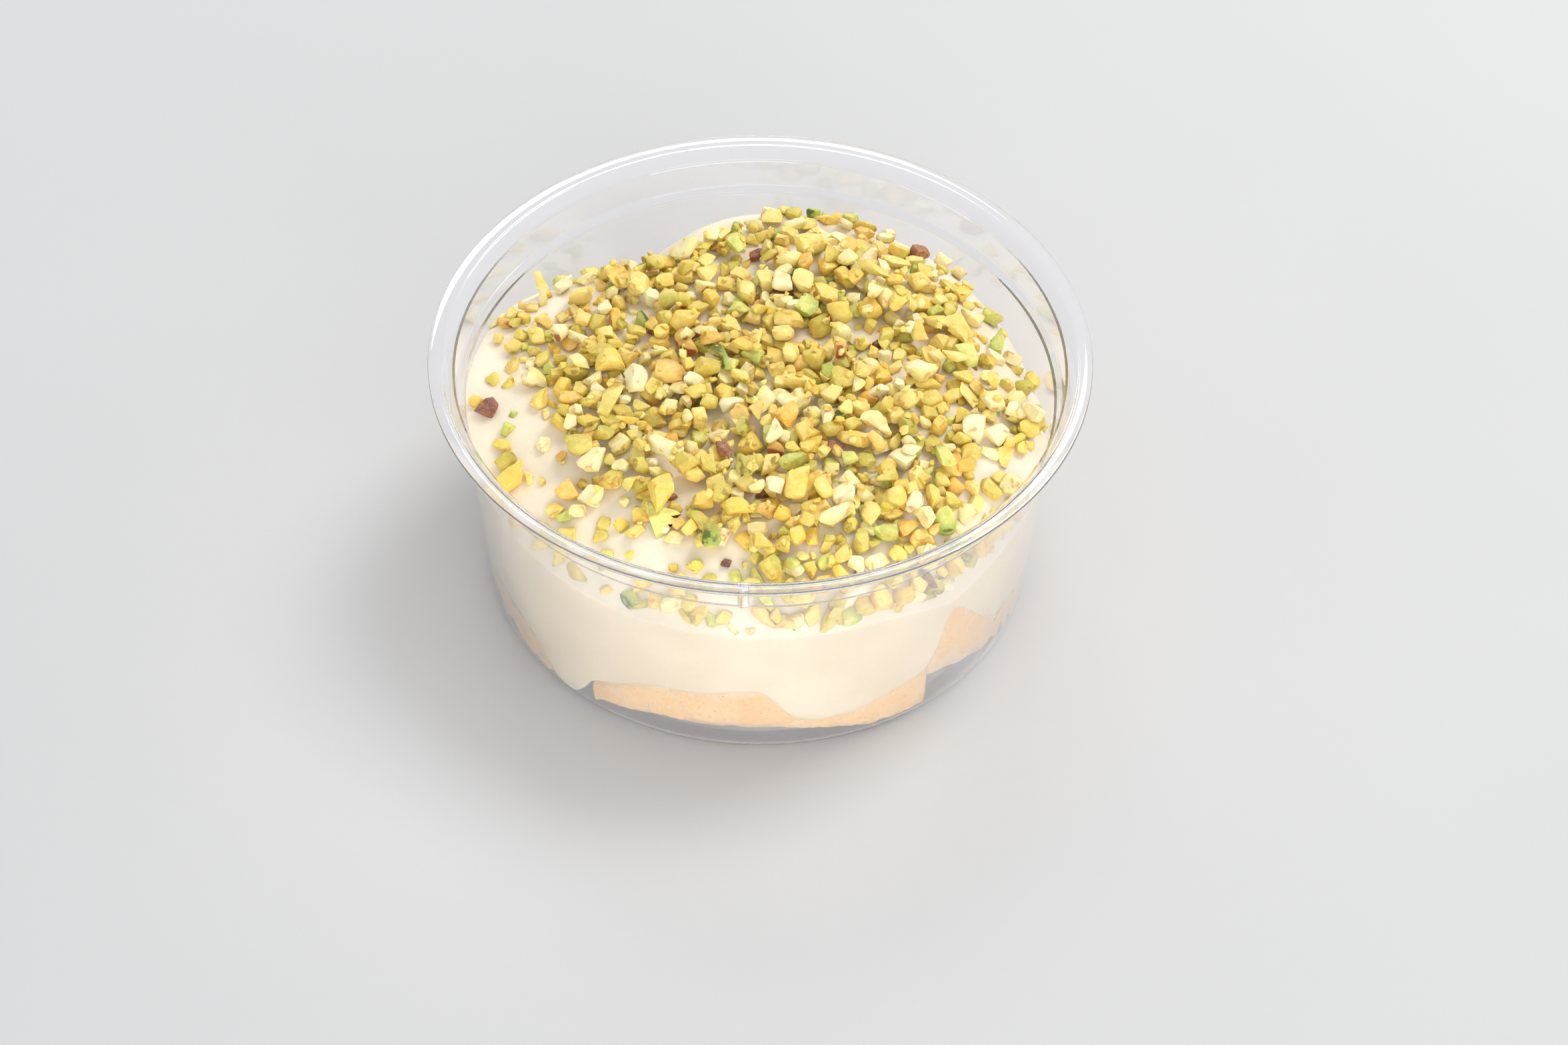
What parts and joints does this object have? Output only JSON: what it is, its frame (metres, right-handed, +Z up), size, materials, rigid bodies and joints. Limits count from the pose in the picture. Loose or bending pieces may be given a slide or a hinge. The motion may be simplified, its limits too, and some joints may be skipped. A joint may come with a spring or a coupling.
{
  "type": "tiramisu in a clear round tub",
  "caption": "Tiramisu in a clear round tub: domed pale cream over a layer of sponge pieces that show at the wall, topped with chopped nuts.",
  "frame": {"origin": "bottom centre of the tub, on the plane of its foot ring", "axes": "+Z up along the tub's axis; -Y towards the side where the long sponge piece shows; +X to its right"},
  "size_m": [0.117, 0.117, 0.05],
  "materials": {
    "clear_plastic": "clear, polished",
    "cream": "smooth satin cream",
    "sponge": "matte, fine-pored",
    "nut_yellow": "matte, waxy",
    "nut_green": "matte, waxy",
    "nut_brown": "matte, dry skin"
  },
  "bodies": {
    "root": {"tub": "clear_plastic", "cream": "cream", "sponge_front": "sponge", "sponge_right": "sponge", "sponge_left": "sponge"}
  },
  "joints": []
}
